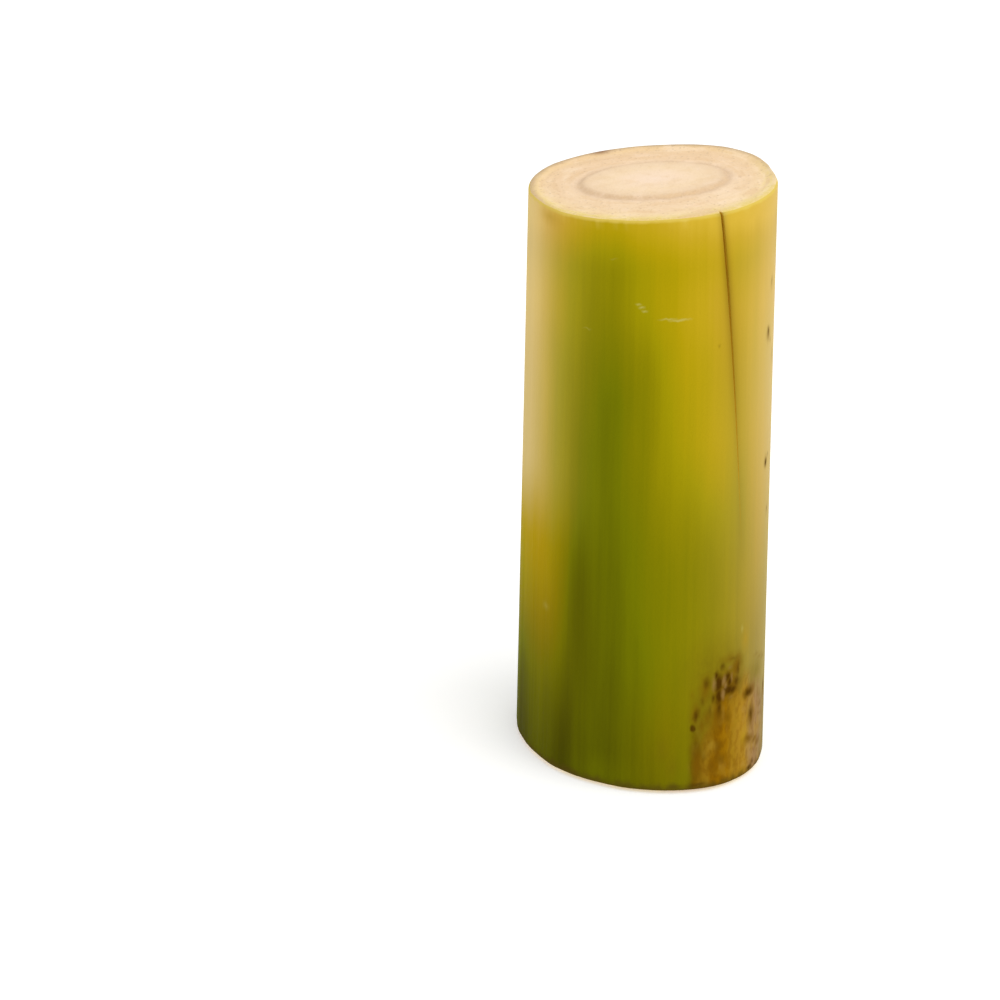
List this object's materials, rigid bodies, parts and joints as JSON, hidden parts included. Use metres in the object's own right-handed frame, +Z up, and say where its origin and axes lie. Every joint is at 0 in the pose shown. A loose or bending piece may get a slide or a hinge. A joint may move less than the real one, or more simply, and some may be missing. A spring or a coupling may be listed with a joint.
{
  "type": "banana stem",
  "caption": "Short cut length of green banana stem standing on its flat lower cut, with a slanted upper cut showing a pale oval core inside fibrous flesh, and a drying split down the skin.",
  "frame": {"origin": "middle of the stem's outline, on the flat lower cut that it stands on", "axes": "+Z up along the stem; -Y is the side with the drying split, and the upper cut rises towards +X"},
  "size_m": [0.0688, 0.0742, 0.1665],
  "materials": {
    "stem": "waxy green skin with dry pale flesh on the cut ends"
  },
  "bodies": {
    "root": {"banana_stem": "stem"}
  },
  "joints": []
}
